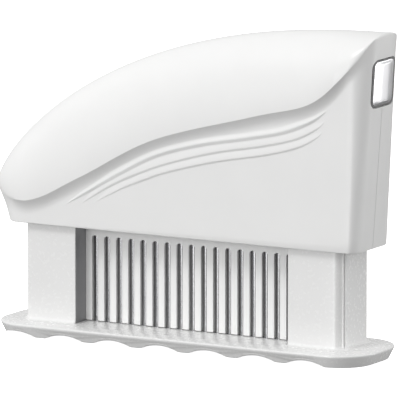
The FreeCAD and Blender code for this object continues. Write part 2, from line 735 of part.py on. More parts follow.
# Ribs and bosses stand inside the shells and end at the outside skin
wide = "4 * grip_half"
works = []
carrier_ribs = fuse("carrier_rib_blanks", [
    block(
        f"carrier_rib_{step + 2}",
        (f"{step} * rib_pitch - rib_width / 2", f"-{wide} / 2", "carrier_floor - rib_spread"),
        ("rib_width", wide, "carrier_height + 2 * rib_spread"),
    )
    for step in (-1, 0, 1)
])
carrier_room = fuse("carrier_room", [
    block(
        "carrier_bars_room", ("-carrier_length / 2", "-carrier_depth", "carrier_floor"),
        ("carrier_length", "2 * carrier_depth", "carrier_height"),
    ),
    block(
        "between_ribs",
        ("-carrier_length / 2", "rib_lap - carrier_depth", "carrier_floor - 2 * rib_spread"),
        ("carrier_length", "2 * carrier_depth - 2 * rib_lap", "carrier_height + 4 * rib_spread"),
    ),
])
works.append(cut("carrier_ribs", carrier_ribs, carrier_room))
for word, side in SIDES:
    middle = f"{side} * column_centre"
    seat_rib = block(
        f"{word}_seat_rib_blank",
        (f"{middle} - rib_width / 2", f"-{wide} / 2", "seat_floor - rib_lap"),
        ("rib_width", wide, "seat_thickness + rib_lap + seat_rib_rise"),
    )
    seat_room = fuse(f"{word}_seat_room", [
        block(
            f"{word}_seat_slot", (f"{middle} - seat_length / 2", "-seat_depth / 2", "seat_floor"),
            ("seat_length", "seat_depth", "seat_thickness"),
        ),
        block(
            f"{word}_nut_room",
            (f"{middle} - seat_length / 2", "rib_lap - seat_depth / 2", "seat_floor / 2"),
            ("seat_length", "seat_depth - 2 * rib_lap", "seat_floor"),
        ),
    ])
    works.append(cut(f"{word}_seat_ribs", seat_rib, seat_room))

# The seats keep their room where the nose comes close to them
shell_bores = []
for word, side in SIDES:
    shell_bores.append(block(
        f"{word}_seat_clearance",
        (f"{side} * column_centre - seat_length / 2", "-seat_depth / 2", "seat_floor"),
        ("seat_length", "seat_depth", "seat_thickness"),
    ))

# Four screws hold the shells together from the rear
screws = []
for word in ("nose", "mid", "long", "heel"):
    spot = (f"screw_{word}_x", f"screw_{word}_z")
    works.append(rod(
        f"boss_{word}", (spot[0], f"-{wide} / 2", spot[1]), "screw_boss / 2", wide, "y",
    ))
    shell_bores.append(rod(
        f"bore_front_{word}", (spot[0], "-screw_grip - screw_end_room", spot[1]),
        "screw_shank / 2 + close_fit", "screw_grip + screw_end_room", "y",
    ))
    shell_bores.append(rod(
        f"bore_rear_{word}", (spot[0], "0", spot[1]),
        "screw_shank / 2 + screw_room", "screw_seat", "y",
    ))
    shell_bores.append(rod(
        f"head_room_{word}", (spot[0], "screw_seat", spot[1]),
        "screw_head / 2 + screw_head_room", wide, "y",
    ))
    screws.append(rod(
        f"screw_shank_{word}", (spot[0], "-screw_grip", spot[1]),
        "screw_shank / 2", "screw_grip + screw_seat", "y",
    ))
    screws.append(rod(
        f"screw_head_{word}", (spot[0], "screw_seat", spot[1]),
        "screw_head / 2", "screw_head_height", "y",
    ))
sub_part("shell_screws", fuse("shell_screws", screws))

# Badge: a blank pillow set into the end face
LEAN = "atan(heel_lean)"
shell_bores.append(slab(
    "badge_recess", ("0", "badge_level", "badge_face_x - badge_sink"),
    "badge_width + 2 * badge_gap", "badge_height + 2 * badge_gap", "3 * badge_sink",
    "badge_corner + badge_gap", "YZ_Plane", LEAN,
))
sub_part("end_badge", slab(
    "badge_plaque", ("0", "badge_level", "badge_face_x - badge_sink"),
    "badge_width", "badge_height", "badge_thickness", "badge_corner", "YZ_Plane", LEAN,
))

# Two handle shells that meet on the middle plane
hollow_handle = cut("hollow_handle", outside, cavity)
inner_works = common("inner_works", [fuse("works", works), outside])
whole_handle = cut(
    "whole_handle", fuse("handle_solids", [hollow_handle, inner_works]),
    fuse("shell_bores", shell_bores),
)
for word, low_y in (("front", f"-{wide}"), ("rear", "0")):
    half_space = block(
        f"{word}_half_space", ("-2 * nose_reach", low_y, "0"),
        ("4 * nose_reach", wide, "2 * crown_height"),
    )
    sub_part(f"handle_{word}_shell", common(f"handle_{word}_shell", [whole_handle, half_space]))

doc.recompute()

# Every object must have been built, and every piece must be a sound solid
for item in doc.Objects:
    if "Invalid" in item.State or "Error" in item.State:
        raise RuntimeError(f"{item.Name} was not built")
for label, item in nodes.items():
    shape = item.Shape
    if shape.isNull() or not shape.isValid() or not shape.Solids:
        raise RuntimeError(f"{label} is not a sound solid")

os.makedirs("parts", exist_ok=True)
for label, item in nodes.items():
    item.Shape.exportStep(f"parts/{label}.step")
print(f"{len(nodes)} pieces written")
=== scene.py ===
import math
from bisect import bisect_right
import bpy
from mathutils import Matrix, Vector


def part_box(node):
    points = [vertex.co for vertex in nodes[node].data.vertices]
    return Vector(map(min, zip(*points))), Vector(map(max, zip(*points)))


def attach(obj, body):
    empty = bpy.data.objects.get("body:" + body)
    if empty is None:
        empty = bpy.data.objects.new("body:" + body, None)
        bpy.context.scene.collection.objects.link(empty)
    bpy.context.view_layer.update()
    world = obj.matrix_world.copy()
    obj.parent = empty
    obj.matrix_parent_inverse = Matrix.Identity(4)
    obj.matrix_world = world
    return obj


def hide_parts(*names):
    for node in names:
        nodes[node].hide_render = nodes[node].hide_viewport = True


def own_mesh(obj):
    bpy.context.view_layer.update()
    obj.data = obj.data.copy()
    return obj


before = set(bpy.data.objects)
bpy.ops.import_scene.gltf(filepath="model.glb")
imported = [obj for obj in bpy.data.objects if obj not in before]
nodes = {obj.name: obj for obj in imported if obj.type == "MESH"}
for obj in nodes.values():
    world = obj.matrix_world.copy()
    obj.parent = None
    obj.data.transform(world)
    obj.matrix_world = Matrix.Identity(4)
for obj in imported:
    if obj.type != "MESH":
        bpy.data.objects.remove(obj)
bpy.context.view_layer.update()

# Camera: a long lens, low over the front and turned towards the heel, as in the photograph.
# It aims at a place half way up the tool, in line with the middle of the blade row.
guide_low, guide_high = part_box("blade_guide")
row_middle = (guide_low.x + guide_high.x) / 2
VIEW_TURN = math.radians(29.345)
VIEW_TILT = math.radians(9.657)
VIEW_DISTANCE = 3.2284
FOCAL_PIXELS = 9609.2
FRAME_PIXELS = 400
SENSOR_WIDTH = 36
AIM_ASIDE = 0.0013
AIM_HEIGHT = 0.04843
turn_x, turn_y = math.cos(VIEW_TURN), math.sin(VIEW_TURN)
tilt_x, tilt_z = math.cos(VIEW_TILT), math.sin(VIEW_TILT)
sideways = Vector((turn_x, turn_y, 0))
upwards = Vector((-turn_y * tilt_z, turn_x * tilt_z, tilt_x))
forward = Vector((-turn_y * tilt_x, turn_x * tilt_x, -tilt_z))
aim = Vector((row_middle, 0, 0)) + sideways * AIM_ASIDE + upwards * AIM_HEIGHT
bpy.ops.object.camera_add(location=aim - forward * VIEW_DISTANCE)
camera = bpy.context.object
camera.name = "camera"
camera.rotation_mode = "QUATERNION"
camera.rotation_quaternion = forward.to_track_quat("-Z", "Y")
camera.data.sensor_width = SENSOR_WIDTH
camera.data.lens = camera.data.sensor_width * FOCAL_PIXELS / FRAME_PIXELS
bpy.context.scene.camera = camera

# Studio: a plain white floor under a pale sky that is darkest low on the right, with a broad soft
# light in front, a smaller one above and one behind the heel, so that the end faces stay a shade
# darker than the front.
FLOOR_SIZE = 14
FLOOR_DROP = 0.00005
FLOOR_WHITE = (0.9, 0.9, 0.9, 1)
FLOOR_GLOW = 0.9
SKY_TOP = 0.80
SKY_EDGE = 0.62
SKY_EDGE_AT = 0.56
SKY_BELOW = 0.26
SKY_BELOW_AT = 0.44
SKY_LEAN = math.radians(24)
LIT_PLACE = Vector((0, 0, 0.05))
bpy.ops.object.select_all(action="DESELECT")
bpy.ops.mesh.primitive_plane_add(size=FLOOR_SIZE, location=(0, 0, -FLOOR_DROP))
floor = bpy.context.object
floor.name = "floor"
floor_paint = bpy.data.materials.new("floor_paint")
floor_paint.use_nodes = True
floor_shader = floor_paint.node_tree.nodes["Principled BSDF"]
floor_shader.inputs["Base Color"].default_value = FLOOR_WHITE
floor_shader.inputs["Roughness"].default_value = 0.9
floor_shader.inputs["Specular IOR Level"].default_value = 0.1
floor_shader.inputs["Emission Color"].default_value = (1, 1, 1, 1)
floor_shader.inputs["Emission Strength"].default_value = FLOOR_GLOW
floor.visible_diffuse = False
floor.visible_glossy = False
floor.data.materials.append(floor_paint)
sky = bpy.data.worlds.new("white_room")
sky.use_nodes = True
sky_light = sky.node_tree.nodes["Background"]
sky_way = sky.node_tree.nodes.new("ShaderNodeTexCoord")
sky_height = sky.node_tree.nodes.new("ShaderNodeSeparateXYZ")
sky_shade = sky.node_tree.nodes.new("ShaderNodeValToRGB")
sky_rise = sky.node_tree.nodes.new("ShaderNodeMapRange")
sky_rise.inputs["From Min"].default_value = -1
sky_turn = sky.node_tree.nodes.new("ShaderNodeMapping")
sky_turn.inputs["Rotation"].default_value = (0, SKY_LEAN, 0)
sky.node_tree.links.new(sky_way.outputs["Generated"], sky_turn.inputs["Vector"])
sky.node_tree.links.new(sky_turn.outputs["Vector"], sky_height.inputs["Vector"])
sky.node_tree.links.new(sky_height.outputs["Z"], sky_rise.inputs["Value"])
sky.node_tree.links.new(sky_rise.outputs["Result"], sky_shade.inputs["Fac"])
sky.node_tree.links.new(sky_shade.outputs["Color"], sky_light.inputs["Color"])
sky_stops = sky_shade.color_ramp.elements
sky_stops[0].position = SKY_BELOW_AT
sky_stops[0].color = (SKY_BELOW, SKY_BELOW, SKY_BELOW, 1)
sky_stops[1].position = 1.0
sky_stops[1].color = (SKY_TOP, SKY_TOP, SKY_TOP, 1)
sky_stops.new(SKY_EDGE_AT).color = (SKY_EDGE, SKY_EDGE, SKY_EDGE, 1)
bpy.context.scene.world = sky
bpy.context.scene.view_settings.view_transform = "Standard"
for name, place, width, power in (
    ("front_fill", (-0.15, -1.4, 0.12), 0.8, 8.4),
    ("top_key", (-0.35, -0.85, 1.1), 0.4, 6.0),
    ("heel_light", (0.95, 0.75, 0.12), 0.55, 8.4),
):
    bpy.ops.object.light_add(type="AREA", location=place)
    light = bpy.context.object
    light.name = name
    light.data.size = width
    light.data.energy = power
    light.rotation_mode = "QUATERNION"
    light.rotation_quaternion = (LIT_PLACE - Vector(place)).to_track_quat("-Z", "Y")


# Guard: one white moulding of base plate and two columns, with fine moulded grain.
# The same grain, in other colours and gloss, serves every moulded and metal piece.
COAT_ROUGHNESS = 0.12
CLOUD_SIZE = 12
CLOUD_DETAIL = 4
SPECK_DETAIL = 3
GRAIN_DEPTH = 0.00005


def finish(name, dark, light, rough, grain, bump, metal=0.0, stretch=(1, 1, 1), coat=0.0):
    """A finish whose colour and roughness drift a little and whose surface has a fine grain."""
    paint = bpy.data.materials.new(name)
    paint.use_nodes = True
    tree = paint.node_tree
    shader = tree.nodes["Principled BSDF"]
    shader.inputs["Metallic"].default_value = metal
    shader.inputs["Coat Weight"].default_value = coat
    shader.inputs["Coat Roughness"].default_value = COAT_ROUGHNESS
    place = tree.nodes.new("ShaderNodeTexCoord")
    mapping = tree.nodes.new("ShaderNodeMapping")
    mapping.inputs["Scale"].default_value = stretch
    tree.links.new(place.outputs["Object"], mapping.inputs["Vector"])
    cloud = tree.nodes.new("ShaderNodeTexNoise")
    cloud.inputs["Scale"].default_value = grain / CLOUD_SIZE
    cloud.inputs["Detail"].default_value = CLOUD_DETAIL
    speck = tree.nodes.new("ShaderNodeTexNoise")
    speck.inputs["Scale"].default_value = grain
    speck.inputs["Detail"].default_value = SPECK_DETAIL
    for noise in (cloud, speck):
        tree.links.new(mapping.outputs["Vector"], noise.inputs["Vector"])
    shade = tree.nodes.new("ShaderNodeMix")
    shade.data_type = "RGBA"
    shade.inputs["A"].default_value = (*dark, 1)
    shade.inputs["B"].default_value = (*light, 1)
    tree.links.new(cloud.outputs["Fac"], shade.inputs["Factor"])
    tree.links.new(shade.outputs["Result"], shader.inputs["Base Color"])
    gloss = tree.nodes.new("ShaderNodeMapRange")
    gloss.inputs["To Min"].default_value = rough[0]
    gloss.inputs["To Max"].default_value = rough[1]
    tree.links.new(speck.outputs["Fac"], gloss.inputs["Value"])
    tree.links.new(gloss.outputs["Result"], shader.inputs["Roughness"])
    relief = tree.nodes.new("ShaderNodeBump")
    relief.inputs["Strength"].default_value = bump
    relief.inputs["Distance"].default_value = GRAIN_DEPTH
    tree.links.new(speck.outputs["Fac"], relief.inputs["Height"])
    tree.links.new(relief.outputs["Normal"], shader.inputs["Normal"])
    return paint


def dress(node, paint):
    """Gives a CAD node its finish."""
    nodes[node].data.materials.clear()
    nodes[node].data.materials.append(paint)


guard_plastic = finish(
    "guard_plastic", (0.79, 0.79, 0.785), (0.83, 0.83, 0.825), (0.25, 0.29), 900, 0.02, coat=0.2,
)


def loft(name, sections):
    """A closed solid through like sections, each a ring of places."""
    across = len(sections[0])
    bpy.ops.object.select_all(action="DESELECT")
    bpy.ops.mesh.primitive_grid_add(x_subdivisions=across - 1, y_subdivisions=len(sections) - 1)
    solid = bpy.context.object
    solid.name = name
    for vertex in solid.data.vertices:
        vertex.co = sections[vertex.index // across][vertex.index % across]
    bpy.ops.object.mode_set(mode="EDIT")
    bpy.ops.mesh.select_mode(type="VERT")
    bpy.ops.mesh.select_all(action="DESELECT")
    bpy.ops.object.mode_set(mode="OBJECT")
    for vertex in solid.data.vertices:
        vertex.select = vertex.index % across in (0, across - 1)
    for edge in solid.data.edges:
        edge.select = all(solid.data.vertices[end].select for end in edge.vertices)
    bpy.ops.object.mode_set(mode="EDIT")
    bpy.ops.mesh.select_mode(type="EDGE")
    bpy.ops.mesh.bridge_edge_loops()
    for end in (0, len(sections) - 1):
        bpy.ops.mesh.select_all(action="DESELECT")
        bpy.ops.object.mode_set(mode="OBJECT")
        for edge in solid.data.edges:
            rows = {index // across for index in edge.vertices}
            edge.select = rows == {end}
        bpy.ops.object.mode_set(mode="EDIT")
        bpy.ops.mesh.edge_face_add()
    bpy.ops.mesh.select_all(action="SELECT")
    bpy.ops.mesh.normals_make_consistent(inside=False)
    bpy.ops.object.mode_set(mode="OBJECT")
    return solid


def block(low, high):
    """A square solid between two corners."""
    bpy.ops.object.select_all(action="DESELECT")
    middle = [(a + b) / 2 for a, b in zip(low, high)]
    spans = [b - a for a, b in zip(low, high)]
    bpy.ops.mesh.primitive_cube_add(size=1, location=middle, scale=spans)
    bpy.ops.object.transform_apply(location=True, rotation=True, scale=True)
    return bpy.context.object


def rod(start, end, radius, sides=40):
    """A round solid between the middles of its two ends."""
    bpy.ops.object.select_all(action="DESELECT")
    run = Vector(end) - Vector(start)
    bpy.ops.mesh.primitive_cylinder_add(
        vertices=sides, radius=radius, depth=run.length,
        location=(Vector(start) + Vector(end)) / 2,
        rotation=run.to_track_quat("Z", "Y").to_euler(),
    )
    bpy.ops.object.transform_apply(location=True, rotation=True, scale=True)
    return bpy.context.object


def carve(base, cutter, operation="DIFFERENCE"):
    """Cuts one solid out of another, or joins them, and clears the cutter away."""
    bpy.ops.object.select_all(action="DESELECT")
    bpy.context.view_layer.objects.active = base
    base.select_set(True)
    carving = base.modifiers.new("carving", "BOOLEAN")
    carving.operation = operation
    carving.solver = "EXACT"
    carving.object = cutter
    bpy.ops.object.modifier_apply(modifier="carving")
    bpy.data.objects.remove(cutter)


def soften(before, corner_place, after, setback, steps=6):
    """Places round a corner of an outline, softened from a setback on each side of it."""
    start = corner_place + (before - corner_place).normalized() * setback
    end = corner_place + (after - corner_place).normalized() * setback
    shares = [step / steps for step in range(steps + 1)]
    return [
        start.lerp(corner_place, share).lerp(corner_place.lerp(end, share), share)
        for share in shares
    ]


def rounded_ring(left, right, half_depth, left_radius, right_radius, z, steps=12):
    """A rounded rectangle at a height, with one radius for its left and one for its right."""
    ring = []
    for turn, (end, radius) in enumerate((
        (right, right_radius), (right, right_radius), (left, left_radius), (left, left_radius),
    )):
        along = 1 if end is right else -1
        across = -1 if turn in (0, 3) else 1
        middle_x, middle_y = end - along * radius, across * (half_depth - radius)
        for step in range(steps + 1):
            angle = (turn - 1 + step / steps) * math.pi / 2
            x = middle_x + radius * math.cos(angle)
            ring.append((x, middle_y + radius * math.sin(angle), z))
    return ring


guard_low, guard_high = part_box("guard_frame")
strip_low, strip_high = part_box("right_guide_strip")
PLATE_TOP = strip_low.z
PLATE_SLOPE_DROP = 0.00065
PLATE_EDGE = PLATE_TOP - PLATE_SLOPE_DROP
PLATE_DRAFT = 0.0022
PLATE_SLOPE = 0.0045
PLATE_CORNER = 0.014
EDGE_SOFT = 0.0010
FOOT_SOFT = 0.0004
CREASE_SOFT = 0.0003
PLATE_MIDDLE = 0.010
PLATE_CORNER_STEPS = 20
plate_line = [Vector(place) for place in (
    (PLATE_MIDDLE, 0), (PLATE_DRAFT, 0), (0, PLATE_EDGE), (PLATE_SLOPE, PLATE_TOP),
    (PLATE_MIDDLE, PLATE_TOP),
)]
plate_profile = [
    place
    for corner_at, setback in ((1, FOOT_SOFT), (2, EDGE_SOFT), (3, CREASE_SOFT))
    for place in soften(*plate_line[corner_at - 1:corner_at + 2], setback)
]
guard = loft("guard_body", [
    rounded_ring(
        guard_low.x + inset, guard_high.x - inset, guard_high.y - inset,
        PLATE_CORNER - inset, PLATE_CORNER - inset, z, PLATE_CORNER_STEPS,
    )
    for inset, z in plate_profile
])

COLUMN_WIDTH = 0.0197
STRIP_BORDER = 0.00035
COLUMN_DEEP = strip_high.y + STRIP_BORDER
COLUMN_CORNER = 0.00275
COLUMN_WALL = 0.0023
INNER_EDGE = 0.0002
RIB_RISE = 0.0008
RIB_DEEP = 0.0072
RIB_EDGE = 0.0003
BLEND = 0.0013
BLEND_STEPS = 7
BLEND_SINK = 0.00002
HOLLOW_STEPS = 6
WEB_FLOOR = 0.028
WEB_ROOF = 0.031
POCKET_RADIUS = 0.0055
STEM_ROOM = 0.0024
LUG_REACH = 0.002
LUG_DEEP = 0.0031
LUG_CEILING = 0.05
blend_levels = [(PLATE_TOP / 2, BLEND), (PLATE_TOP - BLEND_SINK, BLEND)]
for step in range(1, BLEND_STEPS + 1):
    up = BLEND * (1 - math.cos(step / BLEND_STEPS * math.pi / 2))
    blend_levels.append((PLATE_TOP + up, BLEND - math.sqrt(BLEND ** 2 - (BLEND - up) ** 2)))
blend_levels.append((guard_high.z, 0))
column_inner = strip_low.x - row_middle
column_middle = column_inner + COLUMN_WIDTH / 2


def both_ends(side, inner, outer):
    """The left and right ends of something on one side of the tool."""
    ends = (row_middle + side * inner, row_middle + side * outer)
    return ends if side > 0 else ends[::-1]


for side in (-1, 1):
    for inner, outer, deep, inner_round, outer_round in (
        (column_inner, column_inner + COLUMN_WIDTH, COLUMN_DEEP, INNER_EDGE, COLUMN_CORNER),
        (column_middle, column_inner + COLUMN_WIDTH + RIB_RISE, RIB_DEEP, RIB_EDGE, RIB_EDGE),
    ):
        rings = []
        for z, spread in blend_levels:
            left, right = both_ends(side, inner, outer + spread)
            radii = (inner_round, outer_round + spread)
            rings.append(rounded_ring(left, right, deep + spread, *radii[::side], z))
        carve(guard, loft("column", rings), "UNION")
for side in (-1, 1):
    low_x, high_x = both_ends(side, column_inner, column_inner + COLUMN_WIDTH)
    low_x, high_x = low_x + COLUMN_WALL, high_x - COLUMN_WALL
    carve(guard, loft("column_hollow", [
        rounded_ring(
            low_x, high_x, COLUMN_DEEP - COLUMN_WALL,
            COLUMN_CORNER / 2, COLUMN_CORNER / 2, z, HOLLOW_STEPS,
        )
        for z in (-PLATE_TOP, WEB_FLOOR)
    ]))
    middle = row_middle + side * column_middle
    carve(guard, rod((middle, 0, WEB_ROOF), (middle, 0, LUG_CEILING), POCKET_RADIUS))
    carve(guard, rod((middle, 0, WEB_FLOOR / 2), (middle, 0, guard_high.z), STEM_ROOM))
    left, right = both_ends(
        side, 2 * column_inner - strip_high.x + row_middle, strip_high.x - row_middle,
    )
    carve(guard, block((left, strip_low.y, PLATE_TOP), (right, strip_high.y, strip_high.z)))
    left, right = both_ends(side, column_inner - LUG_REACH, column_inner + LUG_REACH)
    carve(guard, block((left, -LUG_DEEP, strip_high.z), (right, LUG_DEEP, LUG_CEILING)))

SCALLOP_RADIUS = 0.0174
SCALLOP_DEPTH = 0.0017
SCALLOP_PITCH = 0.0185
SCALLOP_ASIDE = -0.005
SCALLOP_FILLET = 0.0010
SCALLOP_SIDES = 160
GUARD_SMOOTH = math.radians(32)
SCALLOP_OUT = 0.003
SCALLOPS_EACH_SIDE = 3
scallop_face = guard_high.y - PLATE_DRAFT * (1 - SCALLOP_DEPTH / PLATE_EDGE) + SCALLOP_FILLET / 4
fillet_line = [(-SCALLOP_OUT, SCALLOP_FILLET + SCALLOP_OUT)]
for share in (0, 0.1, 0.3, 0.6, 1):
    inside = SCALLOP_FILLET * share
    fillet_line.append((inside, SCALLOP_FILLET - math.sqrt(
        SCALLOP_FILLET ** 2 - (SCALLOP_FILLET - inside) ** 2
    )))
for step in range(-SCALLOPS_EACH_SIDE, SCALLOPS_EACH_SIDE + 1):
    x = row_middle + SCALLOP_ASIDE + step * SCALLOP_PITCH
    rings = []
    for hand, line in ((-1, fillet_line), (1, fillet_line[::-1])):
        for inside, spread in line:
            radius = SCALLOP_RADIUS + spread
            rings.append([
                (
                    x + radius * math.cos(angle), hand * (scallop_face - inside),
                    SCALLOP_DEPTH - SCALLOP_RADIUS + radius * math.sin(angle),
                )
                for angle in (2 * math.pi * side / SCALLOP_SIDES for side in range(SCALLOP_SIDES))
            ])
    carve(guard, loft("scallop", rings))

BLADE_ROOM = 0.00015
blade_names = sorted(name for name in nodes if name.startswith(("blade_0", "blade_1")))
for name in blade_names:
    low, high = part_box(name)
    carve(guard, block(
        (low.x - BLADE_ROOM, low.y - BLADE_ROOM, -PLATE_TOP),
        (high.x + BLADE_ROOM, high.y + BLADE_ROOM, 2 * PLATE_TOP),
    ))
bpy.ops.object.select_all(action="DESELECT")
guard.select_set(True)
bpy.context.view_layer.objects.active = guard
bpy.ops.object.shade_smooth_by_angle(angle=GUARD_SMOOTH)
guard.data.materials.clear()
guard.data.materials.append(guard_plastic)
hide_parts("guard_frame")
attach(guard, "guard")

# Guide strips: thin satin steel plates, drawn lengthwise and let into the columns' inner faces,
# where the grip's load rubs on them. Their dark colour is also painted shade for those inner
# faces, which sit in shade in the gap under the grip.
strip_steel = finish(
    "strip_steel", (0.30, 0.30, 0.31), (0.40, 0.40, 0.41), (0.30, 0.46), 600, 0.3,
    metal=1.0, stretch=(1, 1, 0.06),
)
for side in ("left", "right"):
    dress(f"{side}_guide_strip", strip_steel)

# Blade guide: the white moulded comb between the columns, a little brighter than they are;
# the extra brightness is painted light that offsets the shade it sits in.
# Its lugs hang in the columns, and it keeps the blades apart.
comb_plastic_and_painted_light = finish(
    "comb_plastic_and_painted_light", (0.88, 0.88, 0.875), (0.92, 0.92, 0.915), (0.30, 0.40), 900, 0.08,
)
dress("blade_guide", comb_plastic_and_painted_light)

# Blades: flat strips of polished steel with rounded long edges, ground to a slanting point.
# Their colour is darker than bare steel and streaked lengthwise: painted reflection of dark
# surroundings.
# They hang from the carrier in the grip and stop just inside the base plate.
blade_steel = finish(
    "blade_steel", (0.17, 0.17, 0.175), (0.40, 0.40, 0.41), (0.16, 0.24), 1500, 0.18,
    metal=1.0, stretch=(1, 1, 0.03),
)
BLADE_EDGE = 0.00075
BLADE_POINT = 0.0020
BLADE_EDGE_STEPS = 5
BLADE_SMOOTH = math.radians(28)
for name in blade_names:
    low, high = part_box(name)
    middle = (low + high) / 2
    bpy.ops.object.select_all(action="DESELECT")
    bpy.ops.mesh.primitive_cube_add(size=1, location=middle, scale=high - low)
    bpy.ops.object.transform_apply(location=True, rotation=True, scale=True)
    blade = bpy.context.object
    blade.name = name + "_strip"
    bpy.ops.object.mode_set(mode="EDIT")
    bpy.ops.mesh.select_all(action="SELECT")
    bpy.ops.mesh.bisect(
        plane_co=(low.x, middle.y, low.z),
        plane_no=(BLADE_POINT, 0, -(high.x - low.x)),
        use_fill=True, clear_outer=True,
    )
    bpy.ops.mesh.select_mode(type="EDGE")
    bpy.ops.mesh.select_all(action="DESELECT")
    bpy.ops.object.mode_set(mode="OBJECT")
    for edge in blade.data.edges:
        ends = [blade.data.vertices[index].co for index in edge.vertices]
        edge.select = abs(ends[0].z - ends[1].z) > (high.z - low.z) / 2
    bpy.ops.object.mode_set(mode="EDIT")
    bpy.ops.mesh.bevel(offset=BLADE_EDGE, segments=BLADE_EDGE_STEPS, profile=0.5)
    bpy.ops.object.mode_set(mode="OBJECT")
    bpy.ops.object.shade_smooth_by_angle(angle=BLADE_SMOOTH)
    blade.data.materials.append(blade_steel)
    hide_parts(name)
    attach(blade, "handle")

# Carrier: two matt moulded bars in the grip that clamp the blades' upper ends, held together by
# one long steel pin through the blades and four rivets between them.
carrier_plastic = finish(
    "carrier_plastic", (0.70, 0.70, 0.69), (0.76, 0.76, 0.75), (0.5, 0.62), 700, 0.2,
)
pin_steel = finish(
    "pin_steel", (0.52, 0.52, 0.53), (0.62, 0.62, 0.63), (0.24, 0.36), 900, 0.2,
    metal=1.0, stretch=(0.1, 1, 1),
)
for node, paint in (
    ("carrier_front", carrier_plastic), ("carrier_rear", carrier_plastic),
    ("blade_pin", pin_steel), ("carrier_rivets", pin_steel),
):
    dress(node, paint)

# Return springs: eight turns of drawn steel wire in each column, pressed by the spring seats.
spring_wire = finish(
    "spring_wire", (0.42, 0.42, 0.43), (0.55, 0.55, 0.56), (0.22, 0.34), 1200, 0.15, metal=1.0,
)
WIRE_RADIUS = 0.0005
SPRING_TURNS = 8
WIRE_SIDES = 14
TURN_STEPS = 32
WIRE_WELD = 0.00001
WIRE_SMOOTH = math.radians(40)
for side in ("left", "right"):
    low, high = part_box(f"{side}_spring")
    middle = (low + high) / 2
    swing = (high.y - low.y) / 2 - WIRE_RADIUS
    rise = high.z - low.z - 2 * WIRE_RADIUS
    bpy.ops.object.select_all(action="DESELECT")
    bpy.ops.mesh.primitive_circle_add(
        vertices=WIRE_SIDES, radius=WIRE_RADIUS,
        location=(swing, 0, 0), rotation=(math.pi / 2, 0, 0),
    )
    bpy.ops.object.transform_apply(location=True, rotation=True, scale=True)
    spring = bpy.context.object
    spring.name = f"{side}_spring_coil"
    winding = spring.modifiers.new("winding", "SCREW")
    winding.axis = "Z"
    winding.screw_offset = rise / SPRING_TURNS
    winding.iterations = SPRING_TURNS
    winding.steps = TURN_STEPS
    winding.render_steps = TURN_STEPS
    winding.use_merge_vertices = False
    bpy.ops.object.modifier_apply(modifier="winding")
    bpy.ops.object.mode_set(mode="EDIT")
    bpy.ops.mesh.select_all(action="SELECT")
    bpy.ops.mesh.remove_doubles(threshold=WIRE_WELD)
    bpy.ops.mesh.select_all(action="DESELECT")
    bpy.ops.mesh.select_non_manifold()
    bpy.ops.mesh.edge_face_add()
    bpy.ops.mesh.select_all(action="SELECT")
    bpy.ops.mesh.normals_make_consistent(inside=False)
    bpy.ops.transform.translate(value=(middle.x, middle.y, low.z + WIRE_RADIUS))
    bpy.ops.object.mode_set(mode="OBJECT")
    bpy.ops.object.shade_smooth_by_angle(angle=WIRE_SMOOTH)
    spring.data.materials.append(spring_wire)
    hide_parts(f"{side}_spring")
    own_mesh(spring)
    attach(spring, "guard")

# Spring seats, guide screws and stop washers: moulded plates in the grip that the springs push
# on, plated steel screws with their nuts, and soft rubber washers that stop the grip at the top.
seat_plastic = finish(
    "seat_plastic", (0.66, 0.66, 0.65), (0.72, 0.72, 0.71), (0.45, 0.6), 700, 0.2,
)
screw_steel = finish(
    "screw_steel", (0.50, 0.50, 0.51), (0.62, 0.62, 0.63), (0.26, 0.42), 1500, 0.2, metal=1.0,
)
washer_rubber = finish(
    "washer_rubber", (0.02, 0.02, 0.02), (0.035, 0.035, 0.035), (0.7, 0.85), 1500, 0.4,
)
dress("guide_nuts", screw_steel)
dress("shell_screws", screw_steel)
for side in ("left", "right"):
    dress(f"{side}_spring_seat", seat_plastic)
    dress(f"{side}_guide_screw", screw_steel)
    dress(f"{side}_stop_washer", washer_rubber)

# Grip: two hollow shells, front and rear, moulded in white and screwed together from the rear.
# A palm swell with a full round back overhangs a plain wall. Three tapered ridges run under it.
front_low, front_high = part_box("handle_front_shell")
LIP = front_low.z
CROWN = front_high.z
NOSE = front_low.x - row_middle
HEEL = front_high.x - row_middle
NOSE_LEAN = 0.0077
NOSE_FOOT = NOSE + NOSE_LEAN
HEEL_OUT = 0.0052
HEEL_FOOT = HEEL - HEEL_OUT
NOSE_HEIGHT = 0.0496
NOSE_BLUNT = 0.0005
NOSE_ROUND = 0.014
CROWN_POWER = 0.66
CROWN_BEND = 2.25
GRIP_HALF = 0.01275
OVERHANG = 0.00225
COVE = 0.005
FOOT_CORNER = 0.005
CROWN_CORNER = 0.0075
SHELL_WALL = 0.002
HEEL_WALL = 0.0034
NOSE_RUN = 0.024
HEEL_RUN = 0.012
END_ROUND = 0.0009
LIP_ROUND = 0.0004
ROUNDING = 0.5523
FOLD_INSET = 0.0002
FOLD = (
    (NOSE + FOLD_INSET, NOSE_HEIGHT), (-0.057, 0.0465), (-0.036, 0.0563), (-0.008, 0.071),
    (0.030, 0.0818), (0.052, 0.088), (0.066, 0.1005), (HEEL - FOLD_INSET, 0.1100),
)


def trace(points, steps=24):
    """Close places along a smooth line through the points given, as two lists."""
    ends = [points[0], *points, points[-1]]
    line = []
    for before, start, stop, after in zip(ends, ends[1:], ends[2:], ends[3:]):
        for step in range(steps):
            t = step / steps
            line.append(tuple(
                0.5 * (
                    2 * b + (c - a) * t + (2 * a - 5 * b + 4 * c - d) * t ** 2
                    + (3 * b - a - 3 * c + d) * t ** 3
                )
                for a, b, c, d in zip(before, start, stop, after)
            ))
    line.append(points[-1])
    return [x for x, z in line], [z for x, z in line]


def height_on(line, x):
    """Height of a traced line at a place along the grip."""
    across, heights = line
    after = min(max(bisect_right(across, x), 1), len(across) - 1)
    run = max(across[after] - across[after - 1], 1e-9)
    share = min(max((x - across[after - 1]) / run, 0.0), 1.0)
    return heights[after - 1] + (heights[after] - heights[after - 1]) * share


